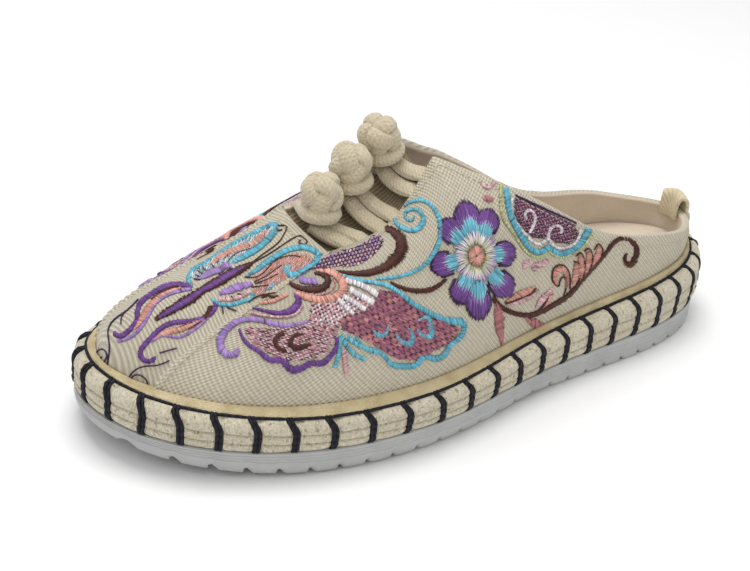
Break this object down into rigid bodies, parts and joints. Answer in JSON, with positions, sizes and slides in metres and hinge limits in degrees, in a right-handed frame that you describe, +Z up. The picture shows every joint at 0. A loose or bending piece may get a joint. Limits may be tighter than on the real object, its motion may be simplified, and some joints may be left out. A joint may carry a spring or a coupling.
{
  "type": "embroidered mule",
  "caption": "Slip-on cloth mule, left shoe: hollow canvas upper with throat slot, elastic gore and knotted cord frogs on a banded, lugged rubber sole",
  "frame": {"origin": "under the middle of the shoe, on the floor", "axes": "+Y from heel to toe, +X to the wearer's big toe, +Z up"},
  "size_m": [0.0968, 0.2595, 0.094],
  "materials": {
    "outsole_rubber": "matt light grey moulded rubber",
    "midsole_foam": "matt foam",
    "band_cotton": "ribbed cotton, blanket stitched",
    "piping_leathercloth": "satin leathercloth",
    "upper_canvas": "plain-weave cotton canvas, embroidered",
    "insole_lining": "brushed lining cloth",
    "gore_elastic": "ribbed elastic",
    "frog_cord": "soft cotton cord",
    "tab_tape": "folded cotton tape"
  },
  "bodies": {
    "root": {"outsole": "outsole_rubber", "midsole": "midsole_foam", "foxing_band": "band_cotton", "piping": "piping_leathercloth", "upper": "upper_canvas", "insole": "insole_lining", "gore": "gore_elastic", "frog_loop_1": "frog_cord", "frog_loop_2": "frog_cord", "frog_loop_3": "frog_cord", "frog_knot_1": "frog_cord", "frog_knot_2": "frog_cord", "frog_knot_3": "frog_cord", "frog_stem_1": "frog_cord", "frog_stem_2": "frog_cord", "frog_stem_3": "frog_cord", "heel_tab": "tab_tape"}
  },
  "joints": []
}
